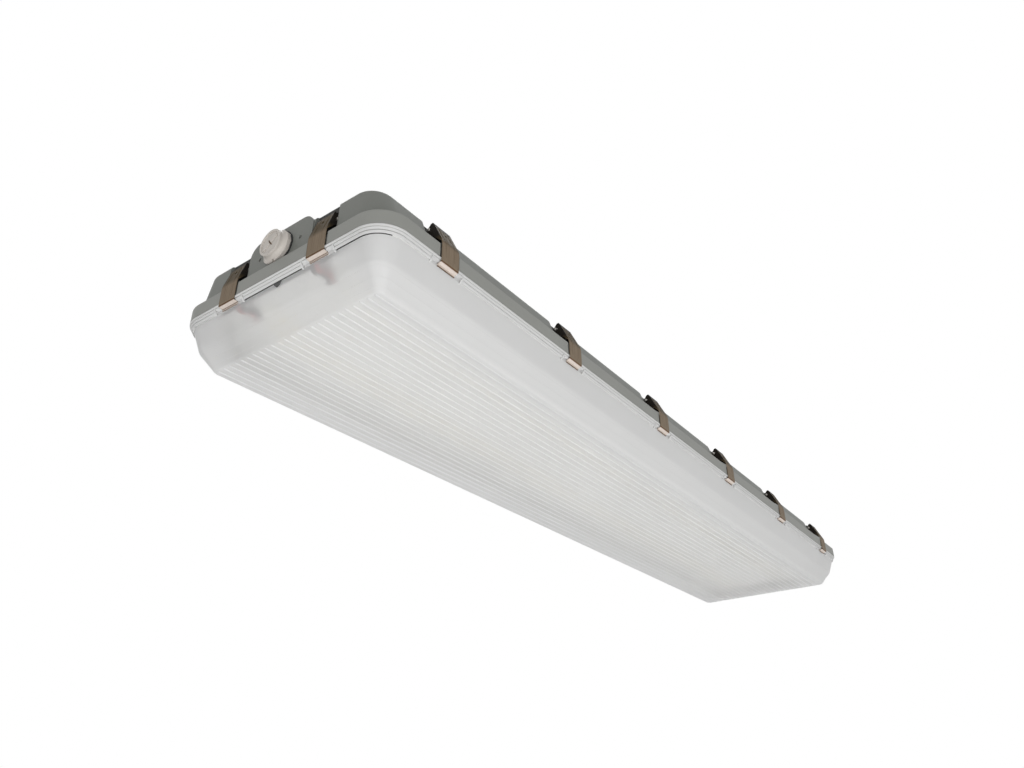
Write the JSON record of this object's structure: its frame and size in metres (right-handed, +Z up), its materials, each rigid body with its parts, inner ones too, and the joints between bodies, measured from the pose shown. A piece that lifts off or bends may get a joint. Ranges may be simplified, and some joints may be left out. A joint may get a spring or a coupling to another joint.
{
  "type": "vapor tight light fixture",
  "caption": "Long sealed ceiling luminaire: grey tray-shaped housing, frosted ribbed lens clamped on by hinged spring latches, LED boards inside and a plugged cable entry at one end.",
  "frame": {"origin": "centre of the flat ceiling face on top of the housing's raised back", "axes": "+X along the length, away from the end with the plugged cable entry; +Z up to the ceiling, so the lens faces -Z"},
  "size_m": [1.3072, 0.3076, 0.1137],
  "materials": {
    "housing_shell": "moulded fibre-filled plastic, fine grain",
    "gasket_rubber": "matt black",
    "lens_frosted": "translucent, lightly frosted, ribbed underneath",
    "tray_enamel": "white enamel",
    "steel": "plated",
    "pin_steel": "drawn stainless",
    "latch_steel": "rolled stainless sheet",
    "led_board": "white solder mask",
    "lead_red": "insulation",
    "lead_black": "insulation",
    "driver_case": "mill finish",
    "brass": "plain",
    "entry_plastic": "off-white moulded"
  },
  "bodies": {
    "fixture": {"housing": "housing_shell", "housing_gasket": "gasket_rubber", "hub_gasket": "gasket_rubber", "lens": "lens_frosted", "gear_tray": "tray_enamel", "board_connector_1": "tray_enamel", "board_connector_2": "tray_enamel", "terminal_block": "tray_enamel", "tray_screw_1": "steel", "tray_screw_2": "steel", "tray_screw_3": "steel", "tray_screw_4": "steel", "driver_screw_1": "steel", "driver_screw_2": "steel", "led_board_1": "led_board", "led_board_2": "led_board", "led_board_3": "led_board", "led_board_4": "led_board", "lead_red_1": "lead_red", "lead_red_2": "lead_red", "lead_black_1": "lead_black", "lead_black_2": "lead_black", "driver": "driver_case", "ground_screw": "brass", "entry_hub": "entry_plastic", "hub_locknut": "entry_plastic", "pin_front_1": "pin_steel", "pin_back_1": "pin_steel", "pin_front_2": "pin_steel", "pin_back_2": "pin_steel", "pin_front_3": "pin_steel", "pin_back_3": "pin_steel", "pin_front_4": "pin_steel", "pin_back_4": "pin_steel", "pin_front_5": "pin_steel", "pin_back_5": "pin_steel", "pin_front_6": "pin_steel", "pin_back_6": "pin_steel", "pin_near_1": "pin_steel", "pin_far_1": "pin_steel", "pin_near_2": "pin_steel", "pin_far_2": "pin_steel"},
    "seal": {"plug_seal": "gasket_rubber"},
    "plug": {"entry_plug": "entry_plastic"},
    "latch_front_1": {"latch_front_1": "latch_steel"},
    "latch_back_1": {"latch_back_1": "latch_steel"},
    "latch_front_2": {"latch_front_2": "latch_steel"},
    "latch_back_2": {"latch_back_2": "latch_steel"},
    "latch_front_3": {"latch_front_3": "latch_steel"},
    "latch_back_3": {"latch_back_3": "latch_steel"},
    "latch_front_4": {"latch_front_4": "latch_steel"},
    "latch_back_4": {"latch_back_4": "latch_steel"},
    "latch_front_5": {"latch_front_5": "latch_steel"},
    "latch_back_5": {"latch_back_5": "latch_steel"},
    "latch_front_6": {"latch_front_6": "latch_steel"},
    "latch_back_6": {"latch_back_6": "latch_steel"},
    "latch_near_1": {"latch_near_1": "latch_steel"},
    "latch_far_1": {"latch_far_1": "latch_steel"},
    "latch_near_2": {"latch_near_2": "latch_steel"},
    "latch_far_2": {"latch_far_2": "latch_steel"}
  },
  "joints": [
    {"name": "latch_front_1_swing", "type": "hinge", "parent": "fixture", "child": "latch_front_1", "pos_m": [-0.5585, -0.1355, -0.0205], "axis": [-1, 0, 0], "range_deg": [0, 80]},
    {"name": "latch_back_1_swing", "type": "hinge", "parent": "fixture", "child": "latch_back_1", "pos_m": [-0.5585, 0.1355, -0.0205], "axis": [1, 0, 0], "range_deg": [0, 80]},
    {"name": "latch_front_2_swing", "type": "hinge", "parent": "fixture", "child": "latch_front_2", "pos_m": [-0.3361, -0.1355, -0.0205], "axis": [-1, 0, 0], "range_deg": [0, 80]},
    {"name": "latch_back_2_swing", "type": "hinge", "parent": "fixture", "child": "latch_back_2", "pos_m": [-0.3361, 0.1355, -0.0205], "axis": [1, 0, 0], "range_deg": [0, 80]},
    {"name": "latch_front_3_swing", "type": "hinge", "parent": "fixture", "child": "latch_front_3", "pos_m": [-0.1137, -0.1355, -0.0205], "axis": [-1, 0, 0], "range_deg": [0, 80]},
    {"name": "latch_back_3_swing", "type": "hinge", "parent": "fixture", "child": "latch_back_3", "pos_m": [-0.1137, 0.1355, -0.0205], "axis": [1, 0, 0], "range_deg": [0, 80]},
    {"name": "latch_front_4_swing", "type": "hinge", "parent": "fixture", "child": "latch_front_4", "pos_m": [0.1087, -0.1355, -0.0205], "axis": [-1, 0, 0], "range_deg": [0, 80]},
    {"name": "latch_back_4_swing", "type": "hinge", "parent": "fixture", "child": "latch_back_4", "pos_m": [0.1087, 0.1355, -0.0205], "axis": [1, 0, 0], "range_deg": [0, 80]},
    {"name": "latch_front_5_swing", "type": "hinge", "parent": "fixture", "child": "latch_front_5", "pos_m": [0.3311, -0.1355, -0.0205], "axis": [-1, 0, 0], "range_deg": [0, 80]},
    {"name": "latch_back_5_swing", "type": "hinge", "parent": "fixture", "child": "latch_back_5", "pos_m": [0.3311, 0.1355, -0.0205], "axis": [1, 0, 0], "range_deg": [0, 80]},
    {"name": "latch_front_6_swing", "type": "hinge", "parent": "fixture", "child": "latch_front_6", "pos_m": [0.5535, -0.1355, -0.0205], "axis": [-1, 0, 0], "range_deg": [0, 80]},
    {"name": "latch_back_6_swing", "type": "hinge", "parent": "fixture", "child": "latch_back_6", "pos_m": [0.5535, 0.1355, -0.0205], "axis": [1, 0, 0], "range_deg": [0, 80]},
    {"name": "latch_near_1_swing", "type": "hinge", "parent": "fixture", "child": "latch_near_1", "pos_m": [-0.638, -0.066, -0.0233], "axis": [0, 1, 0], "range_deg": [0, 80]},
    {"name": "latch_far_1_swing", "type": "hinge", "parent": "fixture", "child": "latch_far_1", "pos_m": [0.638, -0.066, -0.0233], "axis": [0, -1, 0], "range_deg": [0, 80]},
    {"name": "latch_near_2_swing", "type": "hinge", "parent": "fixture", "child": "latch_near_2", "pos_m": [-0.638, 0.066, -0.0233], "axis": [0, 1, 0], "range_deg": [0, 80]},
    {"name": "latch_far_2_swing", "type": "hinge", "parent": "fixture", "child": "latch_far_2", "pos_m": [0.638, 0.066, -0.0233], "axis": [0, -1, 0], "range_deg": [0, 80]},
    {"name": "plug_travel", "type": "slide", "parent": "fixture", "child": "seal", "axis": [-1, 0, 0], "range_m": [0, 0.0046]},
    {"name": "plug_turn", "type": "hinge", "parent": "seal", "child": "plug", "pos_m": [-0.6423, 0, -0.0234], "axis": [-1, 0, 0], "range_deg": [0, 1080]}
  ],
  "couplings": [
    {"joint": "plug_travel", "follows": "plug_turn", "m_per_rad": 0.00023873}
  ]
}
